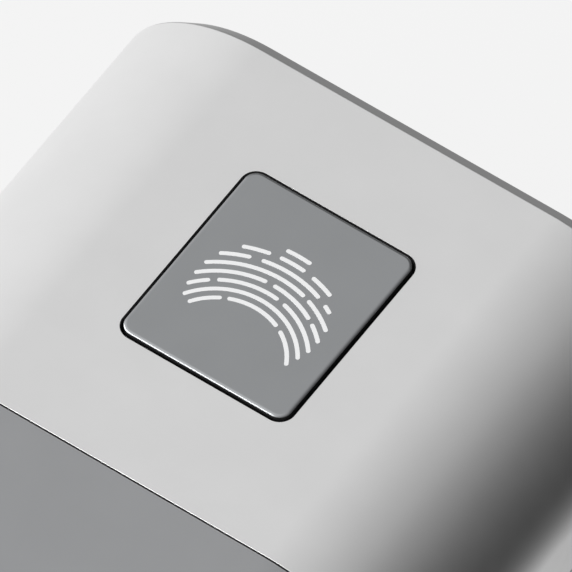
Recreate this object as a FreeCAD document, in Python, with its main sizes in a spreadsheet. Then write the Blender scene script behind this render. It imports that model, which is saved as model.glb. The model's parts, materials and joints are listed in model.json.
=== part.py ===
import FreeCAD, Part
import math
import os
import Sketcher

# Fingerprint scanner terminal, lying on its back.
# X is the width, Y the height on the wall (the scanner is at the +Y end), Z the thickness.
# The origin is the middle of the rear face of the wall plate, which is the lowest face.

DIMENSIONS = {
    # casing outline
    "body_width": 72.5,
    "body_length": 168.2,
    "front_depth": 24.6,
    "shoulder_radius": 17.8,
    "end_chamfer": 1.77,
    "cover_wall": 2.2,
    "upper_length": 54.2,
    "seam_gap": 0.18,
    "slot_round": 0.49,
    "joint_gap": 0.2,
    "rim_height": 0.5,
    "rear_height": 9.5,
    "wall_gap": 0.5,
    "fit_gap": 0.1,
    # tongue of the lower cover, under the upper one
    "tongue_wall": 1.2,
    "tongue_reach": 3.0,
    "tongue_root": 6.0,
    "tongue_foot": 13.5,
    # middle frame
    "frame_plate": 1.5,
    "frame_lip": 2.0,
    "lip_wall": 1.2,
    "board_height": 6.3,
    "post_diameter": 6.0,
    # rear housing
    "rear_wall": 2.4,
    "rear_floor": 1.8,
    "recess_width": 60.0,
    "recess_length": 158.0,
    "recess_depth": 5.0,
    "recess_corner": 4.0,
    "rear_chamfer": 0.8,
    # casing screws and their threaded inserts
    "screw_x": 20.0,
    "screw_top_y": 76.0,
    "screw_mid_y": 36.5,
    "screw_low_y": 20.0,
    "screw_end_y": -72.0,
    "screw_shank": 3.0,
    "screw_length": 12.0,
    "screw_head": 5.5,
    "screw_head_height": 2.0,
    "screw_hole": 3.4,
    "socket_share": 0.46,
    "socket_depth_share": 0.55,
    "insert_diameter": 4.4,
    "insert_length": 6.0,
    "insert_bore": 3.1,
    "boss_diameter": 6.4,
    "boss_root": 0.7,
    # wall plate, its headed studs and its slots
    "plate_width": 58.0,
    "plate_length": 148.0,
    "plate_thickness": 2.0,
    "plate_shift": 4.5,
    "plate_slide": 8.0,
    "plate_window_width": 32.0,
    "plate_window_length": 34.0,
    "stud_x": 10.0,
    "stud_top_y": 58.0,
    "stud_low_y": -60.0,
    "stud_neck": 4.0,
    "stud_head": 8.0,
    "stud_head_height": 1.1,
    "keyhole_wide": 9.0,
    "keyhole_narrow": 4.6,
    "wall_slot_width": 4.6,
    "wall_slot_length": 9.0,
    "wall_slot_x": 36.0,
    "wall_slot_y": 110.0,
    "box_hole": 4.2,
    "box_hole_y": 83.4,
    # cable entry
    "cable_y": -22.0,
    "grommet_neck": 16.0,
    "grommet_flange": 20.0,
    "grommet_bore": 9.0,
    "grommet_lip": 1.1,
    "cable_window": 16.0,
    # tamper switch, worked by a ramp on the wall plate
    "tamper_x": -12.0,
    "tamper_y": 6.0,
    "ramp_slope": 0.15,
    "ramp_width": 5.0,
    "ramp_top": 2.5,
    "ramp_lead": 2.0,
    "plunger_diameter": 3.0,
    "plunger_window": 4.2,
    "plunger_collar": 5.0,
    "plunger_collar_height": 0.5,
    "plunger_stem": 3.4,
    "plunger_play": 0.05,
    "tamper_body": 7.0,
    "tamper_body_height": 1.8,
    # scanner pad and its opening
    "pad_y": 56.95,
    "opening_width": 21.75,
    "opening_length": 25.35,
    "opening_corner": 1.88,
    "pad_gap": 0.405,
    "pad_proud": 0.4,
    "pad_edge_width": 0.37,
    "pad_edge_drop": 0.19,
    "window_thickness": 0.25,
    "carrier_wall": 1.2,
    "pad_travel": 0.5,
    "flange_width": 23.6,
    "flange_length": 27.2,
    "flange_thickness": 0.8,
    "seal_height": 1.8,
    "seal_drop": 0.3,
    "seal_wall": 0.12,
    # printed finger symbol
    "symbol_drop": 9.69,
    "symbol_radius": 7.5,
    "symbol_pitch": 1.13,
    "stroke_width": 0.47,
    "ink_height": 0.04,
    # sensor stack in the pad
    "die_width": 16.0,
    "die_length": 21.0,
    "die_thickness": 0.7,
    "sensor_width": 17.8,
    "sensor_length": 21.4,
    "sensor_thickness": 0.8,
    "backing_thickness": 0.8,
    # sensor tray
    "tray_width": 27.6,
    "tray_length": 31.2,
    "tray_wall": 1.5,
    "tray_floor": 1.2,
    "tray_depth": 4.0,
    "ear_x": 16.2,
    "ear_y": 10.0,
    "ear_diameter": 4.6,
    "spring_x": 7.0,
    "spring_y": 9.6,
    "spring_diameter": 2.4,
    "spring_wire": 0.3,
    "spring_pitch": 0.8,
    "switch_side": 6.0,
    "switch_height": 3.1,
    "button_diameter": 3.0,
    "button_hidden": 0.9,
    # boards
    "board_width": 58.0,
    "board_length": 152.0,
    "board_thickness": 1.6,
    "board_corner": 2.0,
    "boss_clearance": 7.6,
    "mount_x": 25.0,
    "mount_end_y": 64.0,
    "front_board_width": 30.0,
    "front_board_length": 82.0,
    "front_board_y": -27.0,
    "front_board_drop": 2.8,
    "front_board_thickness": 1.0,
    "front_post_x": 12.0,
    "front_post_y": 38.0,
    "small_screw": 2.0,
    "small_screw_hole": 2.2,
    "small_head": 3.8,
    "small_head_height": 1.3,
    "small_screw_length": 4.6,
    "front_screw_length": 3.6,
    "front_post_hole": 3.1,
    # parts on the main board
    "shield_width": 26.0,
    "shield_length": 30.0,
    "shield_height": 3.2,
    "shield_wall": 0.3,
    "shield_y": 30.0,
    "relay_width": 15.0,
    "relay_length": 19.0,
    "relay_height": 9.6,
    "relay_x": 10.0,
    "relay_y": -52.0,
    "cell_diameter": 20.0,
    "cell_height": 3.2,
    "holder_side": 23.0,
    "holder_height": 5.0,
    "cell_x": -12.0,
    "cell_y": -24.0,
    "terminal_ways": 8,
    "terminal_pitch": 3.5,
    "terminal_depth": 7.6,
    "terminal_height": 8.4,
    "terminal_y": -46.0,
    "terminal_screw": 2.4,
    "terminal_screw_depth": 5.0,
    "terminal_wire_hole": 1.8,
    "terminal_wire_level": 6.3,
    "terminal_wire_depth": 4.5,
    # parts on the front board
    "loop_count": 4,
    "loop_width": 26.0,
    "loop_length": 40.0,
    "loop_track": 0.6,
    "loop_pitch": 1.3,
    "loop_height": 0.12,
    "loop_y": -13.0,
    "light_y": -62.0,
    "light_width": 14.0,
    "light_height": 1.8,
    "led_side": 1.6,
    "led_pitch": 4.4,
    "led_height": 0.7,
    "sounder_y": -47.0,
    "sounder_diameter": 12.0,
    "sounder_height": 1.9,
    "slot_count": 5,
    "slot_width": 1.2,
    "slot_length": 10.0,
    "slot_pitch": 2.6,
    "mesh_thickness": 0.2,
    # flat flexible cables
    "flex_width": 10.0,
    "flex_thickness": 0.3,
    "flex_slot_width": 11.5,
    "flex_slot_length": 1.5,
    "flex_y": 9.0,
    "sensor_flex_y": 66.0,
    "plug_width": 13.0,
    "plug_depth": 3.6,
    "plug_height": 1.2,
}

# Each stroke of the finger symbol, by row from the inside out, as the angles of its two round
# ends, in degrees from +Y and positive towards +X.
SYMBOL_ROWS = [
    [(-55, -31), (-23, 23), (31, 62)],
    [(-56, 56)],
    [(-51, -39), (-32, 6.5), (13.5, 51)],
    [(-45, -6), (0.5, 28.5), (34, 45)],
    [(-39, 15), (20, 39)],
    [(-32, -19), (-12, 20), (26.5, 30)],
    [(-22.5, -11.5), (-5.5, 5.5), (11.5, 22)],
    [(-5, 5)],
]


class Dim:
    """A length in millimetres with the sheet formula that gives it."""

    def __init__(self, value, formula):
        self.value = value
        self.formula = formula

    def combine(self, other, sign, value):
        return Dim(value, "(%s %s %s)" % (self.formula, sign, as_dim(other).formula))

    def __add__(self, other):
        return self.combine(other, "+", self.value + as_dim(other).value)

    def __sub__(self, other):
        return self.combine(other, "-", self.value - as_dim(other).value)

    def __mul__(self, other):
        return self.combine(other, "*", self.value * as_dim(other).value)

    def __truediv__(self, other):
        return self.combine(other, "/", self.value / as_dim(other).value)

    def __rsub__(self, other):
        return as_dim(other) - self

    def __rmul__(self, other):
        return self * other

    def __neg__(self):
        return Dim(-self.value, "(0 - %s)" % self.formula)


def as_dim(number):
    if isinstance(number, Dim):
        return number
    return Dim(float(number), repr(float(number)))


class Dimensions:
    """The driving dimensions by name, each as a Dim that points at its cell."""

    def __init__(self, sheet):
        for row, (alias, number) in enumerate(DIMENSIONS.items(), start=1):
            sheet.set("A%d" % row, alias.replace("_", " "))
            sheet.set("B%d" % row, str(number))
            sheet.setAlias("B%d" % row, alias)
            setattr(self, alias, Dim(number, "%s.%s" % (sheet.Name, alias)))


doc = FreeCAD.newDocument("fingerprint_terminal")
size = Dimensions(doc.addObject("Spreadsheet::Sheet", "Sheet"))
doc.recompute()

# Levels along Z, from the wall outwards.
rear_bottom = size.wall_gap
rear_top = rear_bottom + size.rear_height
rim_base = rear_top + size.joint_gap
rim_top = rim_base + size.rim_height
cover_edge = rim_top + size.joint_gap
front_face = cover_edge + size.front_depth
cover_inside = front_face - size.cover_wall
recess_face = rear_bottom + size.recess_depth
floor_top = recess_face + size.rear_floor
frame_base = rim_top - size.frame_plate
board_base = rim_top + size.board_height
board_top = board_base + size.board_thickness
pad_top = front_face + size.pad_proud
window_base = pad_top - size.window_thickness
wall_cut_foot = cover_inside - size.cover_wall
wall_cut = size.cover_wall * 3
flange_top = cover_inside - size.fit_gap
flange_base = flange_top - size.flange_thickness
tray_base = flange_base - size.tray_depth
tray_face = tray_base - size.tray_floor
front_board_top = cover_inside - size.front_board_drop
front_board_base = front_board_top - size.front_board_thickness

# The pad's outline, inside the opening.
pad_width = size.opening_width - size.pad_gap * 2
pad_length = size.opening_length - size.pad_gap * 2
pad_corner = size.opening_corner - size.pad_gap

# Places along Y.
top_end = size.body_length / 2
low_end = -top_end
seam = top_end - size.upper_length
upper_start = seam + size.seam_gap / 2
lower_end = seam - size.seam_gap / 2
upper_screws = [size.screw_top_y, size.screw_mid_y]
lower_screws = [size.screw_low_y, size.screw_end_y]

near_enough = 1e-4
sub_parts = []


def finish_part(piece, label):
    """Name a finished piece and list it among the sub-parts."""
    piece.Label = label
    sub_parts.append(piece)
    return piece


def bind(piece, **lengths):
    """Tie properties of an object to sheet formulas."""
    for name, dim in lengths.items():
        piece.setExpression(name, as_dim(dim).formula)


def place(piece, x, y, z):
    for axis, dim in zip("xyz", (x, y, z)):
        piece.setExpression("Placement.Base." + axis, as_dim(dim).formula)


def mirrored_places(x, ys):
    """Points on both sides of the middle plane at each Y."""
    return [(side * x, y) for y in ys for side in (-1, 1)]


# ---------------------------------------------------------------- sketches in a body

def new_body(name):
    return doc.addObject("PartDesign::Body", name + "_body")


def new_sketch(body, name, plane, x, y, z):
    """A sketch on one of the body's origin planes, moved by x, y, z in the sketch's own axes."""
    sketch = body.newObject("Sketcher::SketchObject", name)
    support = [item for item in body.Origin.OriginFeatures if item.Role == plane][0]
    sketch.AttachmentSupport = [(support, "")]
    sketch.MapMode = "FlatFace"
    for axis, dim in zip("xyz", (x, y, z)):
        sketch.setExpression("AttachmentOffset.Base." + axis, as_dim(dim).formula)
    return sketch


def constrain(sketch, kind, *references):
    """Add a constraint; a Dim at the end is its value and is tied to the sheet."""
    if isinstance(references[-1], Dim):
        dim = references[-1]
        index = sketch.addConstraint(Sketcher.Constraint(kind, *references[:-1], dim.value))
        sketch.setExpression("Constraints[%d]" % index, dim.formula)
    else:
        sketch.addConstraint(Sketcher.Constraint(kind, *references))


def join_loop(sketch, edges, kind):
    """Join the end of each edge to the start of the next one."""
    for this_edge, next_edge in zip(edges, edges[1:] + edges[:1]):
        constrain(sketch, kind, this_edge, 2, next_edge, 1)


def add_line(sketch, start, end):
    return sketch.addGeometry(Part.LineSegment(FreeCAD.Vector(*start, 0), FreeCAD.Vector(*end, 0)))


def add_arc(sketch, centre, radius, start_angle, end_angle):
    circle = Part.Circle(FreeCAD.Vector(*centre, 0), FreeCAD.Vector(0, 0, 1), radius)
    return sketch.addGeometry(Part.ArcOfCircle(circle, start_angle, end_angle))


def draw_rectangle(sketch, width, length):
    """A rectangle centred on the sketch's origin."""
    half_width = width.value / 2
    half_length = length.value / 2
    corners = [(-half_width, -half_length), (half_width, -half_length),
               (half_width, half_length), (-half_width, half_length)]
    edges = [add_line(sketch, *pair) for pair in zip(corners, corners[1:] + corners[:1])]
    join_loop(sketch, edges, "Coincident")
    for index, edge in enumerate(edges):
        constrain(sketch, ("Horizontal", "Vertical")[index % 2], edge)
    constrain(sketch, "Symmetric", edges[0], 1, edges[2], 1, -1, 1)
    constrain(sketch, "DistanceX", edges[0], 1, edges[0], 2, width)
    constrain(sketch, "DistanceY", edges[1], 1, edges[1], 2, length)


def draw_rounded_rectangle(sketch, width, length, corner):
    """A rectangle with round corners, centred on the sketch's origin."""
    half_width = width.value / 2
    half_length = length.value / 2
    radius = corner.value
    edges = []
    for turn in range(4):
        angle = turn * math.pi / 2
        across, along = (half_width, half_length) if turn % 2 == 0 else (half_length, half_width)
        spin = [(math.cos(angle), -math.sin(angle)), (math.sin(angle), math.cos(angle))]
        points = [(-across + radius, -along), (across - radius, -along), (across - radius, -along + radius)]
        start, end, centre = [tuple(row[0] * x + row[1] * y for row in spin) for x, y in points]
        edges.append(add_line(sketch, start, end))
        edges.append(add_arc(sketch, centre, radius, angle - math.pi / 2, angle))
    join_loop(sketch, edges, "Tangent")
    for index, edge in enumerate(edges[::2]):
        constrain(sketch, ("Horizontal", "Vertical")[index % 2], edge)
    for arc in edges[3::2]:
        constrain(sketch, "Equal", edges[1], arc)
    constrain(sketch, "Radius", edges[1], corner)
    constrain(sketch, "Symmetric", edges[0], 1, edges[4], 1, -1, 1)
    constrain(sketch, "DistanceX", edges[6], 1, edges[2], 1, width)
    constrain(sketch, "DistanceY", edges[0], 1, edges[4], 2, length)


def draw_circles(sketch, diameter, places):
    for x, y in places:
        x, y = as_dim(x), as_dim(y)
        centre = FreeCAD.Vector(x.value, y.value, 0)
        circle = sketch.addGeometry(Part.Circle(centre, FreeCAD.Vector(0, 0, 1), diameter.value / 2))
        constrain(sketch, "Diameter", circle, diameter)
        constrain(sketch, "DistanceX", -1, 1, circle, 3, x)
        constrain(sketch, "DistanceY", -1, 1, circle, 3, y)


def draw_tunnel(sketch, half_width, top, radius, foot):
    """The casing's cross-section: upright sides, a flat top and a round shoulder on each side."""
    shoulder = top.value - radius.value
    flat = half_width.value - radius.value
    left = add_line(sketch, (-half_width.value, foot.value), (-half_width.value, shoulder))
    left_arc = add_arc(sketch, (-flat, shoulder), radius.value, math.pi / 2, math.pi)
    crown = add_line(sketch, (-flat, top.value), (flat, top.value))
    right_arc = add_arc(sketch, (flat, shoulder), radius.value, 0, math.pi / 2)
    right = add_line(sketch, (half_width.value, shoulder), (half_width.value, foot.value))
    base = add_line(sketch, (half_width.value, foot.value), (-half_width.value, foot.value))
    constrain(sketch, "Tangent", left, 2, left_arc, 2)
    constrain(sketch, "Tangent", left_arc, 1, crown, 1)
    constrain(sketch, "Tangent", crown, 2, right_arc, 2)
    constrain(sketch, "Tangent", right_arc, 1, right, 1)
    constrain(sketch, "Coincident", right, 2, base, 1)
    constrain(sketch, "Coincident", base, 2, left, 1)
    for upright in (left, right):
        constrain(sketch, "Vertical", upright)
    for level in (crown, base):
        constrain(sketch, "Horizontal", level)
    constrain(sketch, "Equal", left_arc, right_arc)
    constrain(sketch, "Radius", left_arc, radius)
    constrain(sketch, "DistanceX", -1, 1, right, 2, half_width)
    constrain(sketch, "DistanceX", -1, 1, left, 1, -half_width)
    constrain(sketch, "DistanceY", -1, 1, crown, 1, top)
    constrain(sketch, "DistanceY", -1, 1, base, 1, foot)


def draw_stroke(sketch, radius, width, start_degrees, end_degrees):
    """A round-ended stroke that follows a circle about the sketch's origin."""
    turn = math.pi / 2
    start_angle = turn - math.radians(end_degrees)
    end_angle = turn - math.radians(start_degrees)
    half = width / 2
    outer = add_arc(sketch, (0, 0), (radius + half).value, start_angle, end_angle)
    inner = add_arc(sketch, (0, 0), (radius - half).value, start_angle, end_angle)
    caps = []
    for angle, first, last in ((end_angle, 0, math.pi), (start_angle, math.pi, 2 * math.pi)):
        centre = (radius.value * math.cos(angle), radius.value * math.sin(angle))
        caps.append(add_arc(sketch, centre, half.value, angle + first, angle + last))
    for arc in (outer, inner):
        constrain(sketch, "Coincident", arc, 3, -1, 1)
    constrain(sketch, "Radius", outer, radius + half)
    constrain(sketch, "Radius", inner, radius - half)
    constrain(sketch, "Tangent", outer, 2, caps[0], 1)
    constrain(sketch, "Tangent", caps[0], 2, inner, 2)
    constrain(sketch, "Tangent", inner, 1, caps[1], 1)
    constrain(sketch, "Tangent", caps[1], 2, outer, 1)
    for cap, angle in zip(caps, (end_angle, start_angle)):
        constrain(sketch, "DistanceX", -1, 1, cap, 3, radius * math.cos(angle))


# ---------------------------------------------------------------- features in a body

def pad_up(body, name, sketch, height):
    feature = body.newObject("PartDesign::Pad", name + "_pad")
    feature.Profile = sketch
    bind(feature, Length=height)
    return feature


def pocket_up(body, name, sketch, depth):
    """A pocket that cuts from the sketch towards +Z."""
    feature = body.newObject("PartDesign::Pocket", name + "_pocket")
    feature.Profile = sketch
    feature.Reversed = True
    bind(feature, Length=depth)
    return feature


def plan_sketch(body, name, x, y, z):
    return new_sketch(body, name, "XY_Plane", x, y, z)


def add_plate(body, name, x, y, z, width, length, height, corner=None):
    sketch = plan_sketch(body, name, x, y, z)
    if corner is None:
        draw_rectangle(sketch, width, length)
    else:
        draw_rounded_rectangle(sketch, width, length, corner)
    return pad_up(body, name, sketch, height)


def cut_window(body, name, x, y, z, width, length, depth, corner=None):
    sketch = plan_sketch(body, name, x, y, z)
    if corner is None:
        draw_rectangle(sketch, width, length)
    else:
        draw_rounded_rectangle(sketch, width, length, corner)
    return pocket_up(body, name, sketch, depth)


def add_posts(body, name, z, height, diameter, places):
    sketch = plan_sketch(body, name, 0, 0, z)
    draw_circles(sketch, diameter, places)
    return pad_up(body, name, sketch, height)


def drill(body, name, z, depth, diameter, places):
    sketch = plan_sketch(body, name, 0, 0, z)
    draw_circles(sketch, diameter, places)
    return pocket_up(body, name, sketch, depth)


def section_sketch(body, name, y, inset, foot):
    """The casing's section at a given Y, inset from the outside."""
    sketch = new_sketch(body, name, "XZ_Plane", 0, 0, -y)
    draw_tunnel(sketch, size.body_width / 2 - inset, front_face - inset, size.shoulder_radius - inset, foot)
    return sketch


def add_section(body, name, y, length, inset, foot):
    """A solid length of the casing's section, from y towards +Y."""
    feature = pad_up(body, name, section_sketch(body, name, y, inset, foot), length)
    feature.Reversed = True
    return feature


def cut_section(body, name, y, length, inset, foot):
    feature = body.newObject("PartDesign::Pocket", name + "_pocket")
    feature.Profile = section_sketch(body, name, y, inset, foot)
    bind(feature, Length=length)
    return feature


def edges_where(feature, test):
    """Names of the feature's edges whose end points pass the test."""
    doc.recompute()
    names = []
    for index, edge in enumerate(feature.Shape.Edges, start=1):
        if test([vertex.Point for vertex in edge.Vertexes]):
            names.append("Edge%d" % index)
    return names


def at_level(level):
    """Edges that lie at one level along Z."""
    return lambda points: all(near(point.z, level.value) for point in points)


def upright(points):
    return near(points[0].x, points[-1].x) and near(points[0].y, points[-1].y)


def round_end(y, foot):
    """Edges of an end face, apart from the one along its foot."""
    return lambda points: (all(near(point.y, y.value) for point in points)
                           and any(point.z > foot.value + near_enough for point in points))


def chamfer_edges(body, feature, name, test, distance):
    chamfer = body.newObject("PartDesign::Chamfer", name + "_chamfer")
    chamfer.Base = (feature, edges_where(feature, test))
    bind(chamfer, Size=distance)
    return chamfer


def slope_edges(body, feature, name, test, drop, width):
    """A chamfer that is wider across the face than it is deep."""
    chamfer = chamfer_edges(body, feature, name, test, drop)
    chamfer.ChamferType = "Two distances"
    bind(chamfer, Size2=width)
    return chamfer


def near(first, second):
    return abs(first - second) < near_enough


# ---------------------------------------------------------------- primitives

def make_box(name, x, y, z, width, length, height):
    """A box centred on x, y that stands on z."""
    box = doc.addObject("Part::Box", name)
    bind(box, Length=width, Width=length, Height=height)
    place(box, x - as_dim(width) / 2, y - as_dim(length) / 2, z)
    return box


def make_cylinder(name, x, y, z, diameter, height):
    cylinder = doc.addObject("Part::Cylinder", name)
    bind(cylinder, Radius=diameter / 2, Height=height)
    place(cylinder, x, y, z)
    return cylinder


def cut_from(name, base, tool):
    result = doc.addObject("Part::Cut", name)
    result.Base = base
    result.Tool = tool
    return result


def fuse(name, shapes):
    result = doc.addObject("Part::MultiFuse", name)
    result.Shapes = shapes
    return result


def group(name, shapes):
    result = doc.addObject("Part::Compound", name)
    result.Links = shapes
    return result


def make_screw(name, x, y, seat, length, shank, head, head_height, points_up):
    """A socket screw whose head bears on the seat level, from below when it points up."""
    socket_depth = head_height * size.socket_depth_share
    rod_base, cap_base, socket_base = seat, seat - head_height, seat - head_height
    if not points_up:
        rod_base, cap_base, socket_base = seat - length, seat, seat + head_height - socket_depth
    rod = make_cylinder(name + "_rod", x, y, rod_base, shank, length)
    cap = make_cylinder(name + "_cap", x, y, cap_base, head, head_height)
    socket = doc.addObject("Part::Prism", name + "_socket")
    socket.Polygon = 6
    bind(socket, Circumradius=head * size.socket_share / 2, Height=socket_depth)
    place(socket, x, y, socket_base)
    return cut_from(name, fuse(name + "_solid", [rod, cap]), socket)


def make_spring(name, x, y, z, height, diameter, wire, pitch):
    """A square wire swept along a helix between two levels."""
    helix = doc.addObject("Part::Helix", name + "_helix")
    bind(helix, Pitch=pitch, Height=height - wire, Radius=(diameter - wire) / 2)
    section = doc.addObject("Part::RegularPolygon", name + "_wire")
    section.Polygon = 4
    bind(section, Circumradius=wire / math.sqrt(2))
    section.setExpression("Placement.Base.x", ((diameter - wire) / 2).formula)
    upright_turn = FreeCAD.Rotation(FreeCAD.Vector(1, 0, 0), 90)
    corner_turn = FreeCAD.Rotation(FreeCAD.Vector(0, 0, 1), 45)
    section.Placement.Rotation = upright_turn * corner_turn
    coil = doc.addObject("Part::Sweep", name)
    coil.Sections = [section]
    coil.Spine = (helix, ["Edge1"])
    coil.Solid = True
    coil.Frenet = True
    place(coil, x, y, z + wire / 2)
    return coil


# ---------------------------------------------------------------- casing

def make_cover_shell(body, name, start, length, inner_start, closed_end):
    """A length of the casing's section, hollowed out, with a chamfered wall at its closed end."""
    block = add_section(body, name + "_block", start, length, as_dim(0), cover_edge)
    chamfer_edges(body, block, name + "_end", round_end(closed_end, cover_edge), size.end_chamfer)
    cut_section(body, name + "_inside", inner_start, length - size.cover_wall,
                size.cover_wall, cover_edge - size.cover_wall)


def add_screw_bosses(body, name, ys):
    """Bosses that reach from the middle frame up into the cover's wall, with holes for inserts."""
    places = mirrored_places(size.screw_x, ys)
    foot = rim_top + size.fit_gap
    add_posts(body, name, foot, cover_inside + size.boss_root - foot, size.boss_diameter, places)
    drill(body, name + "_insert_hole", foot, size.insert_length, size.insert_diameter, places)
    drill(body, name + "_screw_hole", foot, size.screw_length, size.screw_hole, places)


def make_upper_cover():
    name = "upper_cover"
    body = new_body(name)
    length = top_end - upper_start
    make_cover_shell(body, name, upper_start, length, upper_start, top_end)
    cut_window(body, "pad_opening", 0, size.pad_y, wall_cut_foot, size.opening_width,
               size.opening_length, wall_cut, size.opening_corner)
    add_screw_bosses(body, "upper_boss", upper_screws)
    places = tray_places()
    post_foot = tray_base + size.tray_floor
    add_posts(body, "tray_post", post_foot, cover_inside + size.boss_root - post_foot,
              size.ear_diameter, places)
    drill(body, "tray_post_hole", post_foot, size.small_screw_length, size.small_screw, places)
    return finish_part(body, name)


def make_lower_cover():
    name = "lower_cover"
    body = new_body(name)
    length = lower_end - low_end
    make_cover_shell(body, name, low_end, length, low_end + size.cover_wall, low_end)
    root = seam - size.tongue_root
    add_section(body, "tongue_root", root, lower_end - root, size.cover_wall - size.fit_gap,
                size.tongue_foot)
    tongue_inset = size.cover_wall + size.fit_gap
    tongue_length = size.tongue_root + size.tongue_reach
    add_section(body, "tongue", root, tongue_length, tongue_inset, size.tongue_foot)
    cut_section(body, "tongue_inside", root - size.cover_wall, tongue_length + size.cover_wall * 2,
                tongue_inset + size.tongue_wall, cover_edge - size.cover_wall)
    add_screw_bosses(body, "lower_boss", lower_screws)
    places = front_board_places()
    post_height = cover_inside + size.boss_root - front_board_top
    add_posts(body, "front_board_post", front_board_top, post_height, size.ear_diameter, places)
    drill(body, "front_post_hole", front_board_top, size.front_post_hole, size.small_screw, places)
    cut_window(body, "light_window", 0, size.light_y, wall_cut_foot,
               size.light_width, size.light_height, wall_cut, size.light_height * size.slot_round)
    for index in range(int(size.slot_count.value)):
        offset = (index - (size.slot_count.value - 1) / 2) * size.slot_pitch
        cut_window(body, "sound_slot_%d" % (index + 1), 0, size.sounder_y + offset, wall_cut_foot,
                   size.slot_length, size.slot_width, wall_cut, size.slot_width * size.slot_round)
    return finish_part(body, name)


def add_outline(body, name, z, height):
    """A plate with the casing's plan outline, whose corners are cut like the cover ends."""
    plate = add_plate(body, name, 0, 0, z, size.body_width, size.body_length, height)
    return chamfer_edges(body, plate, name + "_corner", upright, size.end_chamfer)


def make_mid_frame():
    name = "mid_frame"
    body = new_body(name)
    add_outline(body, "frame_rim", rim_base, size.rim_height)
    inner = size.rear_wall + size.fit_gap
    add_plate(body, "frame_plate", 0, 0, frame_base, size.body_width - inner * 2,
              size.body_length - inner * 2, rim_top - frame_base)
    lip = size.cover_wall + size.fit_gap
    lip_inside = lip + size.lip_wall
    add_plate(body, "frame_lip", 0, 0, rim_top, size.body_width - lip * 2,
              size.body_length - lip * 2, size.frame_lip, size.end_chamfer)
    cut_window(body, "lip_inside", 0, 0, rim_top, size.body_width - lip_inside * 2,
               size.body_length - lip_inside * 2, size.frame_lip * 2, size.end_chamfer / 2)
    add_posts(body, "board_post", rim_top, size.board_height, size.post_diameter, main_board_places())
    drill(body, "board_post_hole", rim_top, size.board_height, size.small_screw, main_board_places())
    drill(body, "frame_screw_hole", frame_base, size.frame_plate, size.screw_hole, casing_screw_places())
    drill(body, "plunger_guide", frame_base, size.frame_plate, size.plunger_diameter + size.fit_gap,
          [(size.tamper_x, size.tamper_y)])
    cut_window(body, "terminal_window", 0, size.terminal_y, frame_base,
               size.terminal_ways * size.terminal_pitch + size.terminal_pitch,
               size.terminal_depth * 2, size.frame_plate)
    cut_window(body, "frame_cable_window", 0, size.cable_y, frame_base, size.cable_window,
               size.cable_window, size.frame_plate)
    return finish_part(body, name)


def make_rear_housing():
    name = "rear_housing"
    body = new_body(name)
    outline = add_outline(body, "rear_block", rear_bottom, size.rear_height)
    chamfer_edges(body, outline, "rear_edge", at_level(rear_bottom), size.rear_chamfer)
    cut_window(body, "rear_cavity", 0, 0, floor_top, size.body_width - size.rear_wall * 2,
               size.body_length - size.rear_wall * 2, size.rear_height)
    add_posts(body, "rear_boss", floor_top, frame_base - floor_top, size.boss_diameter,
              casing_screw_places())
    cut_window(body, "plate_recess", 0, 0, rear_bottom, size.recess_width, size.recess_length,
               size.recess_depth, size.recess_corner)
    drill(body, "rear_screw_hole", recess_face, frame_base - recess_face, size.screw_hole,
          casing_screw_places())
    drill(body, "grommet_hole", recess_face, size.rear_floor, size.grommet_neck, [(0, size.cable_y)])
    drill(body, "plunger_window", recess_face, size.rear_floor, size.plunger_window,
          [(size.tamper_x, size.tamper_y)])
    drop = size.plate_slide
    studs = stud_places()
    drill(body, "keyhole_mouth", recess_face, size.rear_floor, size.keyhole_wide,
          [(x, y - drop) for x, y in studs])
    for index, (x, y) in enumerate(studs, start=1):
        cut_window(body, "keyhole_slot_%d" % index, x, y - drop / 2, recess_face, size.keyhole_narrow,
                   drop + size.keyhole_narrow, size.rear_floor, size.keyhole_narrow * size.slot_round)
    return finish_part(body, name)


def make_gasket(name, z):
    """A thin seal that runs round the joint, just inside the outline."""
    outer = size.rim_height + size.fit_gap
    inner = size.cover_wall
    body = new_body(name)
    add_plate(body, name + "_band", 0, 0, z, size.body_width - outer * 2,
              size.body_length - outer * 2, size.joint_gap, size.end_chamfer)
    cut_window(body, name + "_inside", 0, 0, z, size.body_width - inner * 2,
               size.body_length - inner * 2, size.joint_gap, size.end_chamfer / 2)
    return finish_part(body, name)


# ---------------------------------------------------------------- where fasteners go

def casing_screw_places():
    return mirrored_places(size.screw_x, upper_screws + lower_screws)


def tray_places():
    return mirrored_places(size.ear_x, [size.pad_y - size.ear_y, size.pad_y + size.ear_y])


def main_board_places():
    return mirrored_places(size.mount_x, [size.mount_end_y, as_dim(0), -size.mount_end_y])


def front_board_places():
    return mirrored_places(size.front_post_x, [size.front_board_y - size.front_post_y,
                                               size.front_board_y + size.front_post_y])


def stud_places():
    return mirrored_places(size.stud_x, [size.stud_top_y, size.stud_low_y])


def make_casing_fasteners():
    screws = []
    inserts = []
    for index, (x, y) in enumerate(casing_screw_places(), start=1):
        screws.append(make_screw("casing_screw_%d" % index, x, y, recess_face, size.screw_length,
                                 size.screw_shank, size.screw_head, size.screw_head_height, True))
        foot = rim_top + size.fit_gap
        outside = make_cylinder("insert_%d_outside" % index, x, y, foot, size.insert_diameter,
                                size.insert_length)
        bore = make_cylinder("insert_%d_bore" % index, x, y, foot, size.insert_bore, size.insert_length)
        inserts.append(cut_from("insert_%d" % index, outside, bore))
    finish_part(group("casing_screw_set", screws), "casing_screws")
    finish_part(group("insert_set", inserts), "threaded_inserts")


def make_small_screws(label, places, seat, length, points_up):
    screws = [make_screw("%s_%d" % (label, index), x, y, seat, length, size.small_screw,
                         size.small_head, size.small_head_height, points_up)
              for index, (x, y) in enumerate(places, start=1)]
    return finish_part(group(label + "_set", screws), label)


# ---------------------------------------------------------------- wall plate, cable entry, tamper

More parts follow.
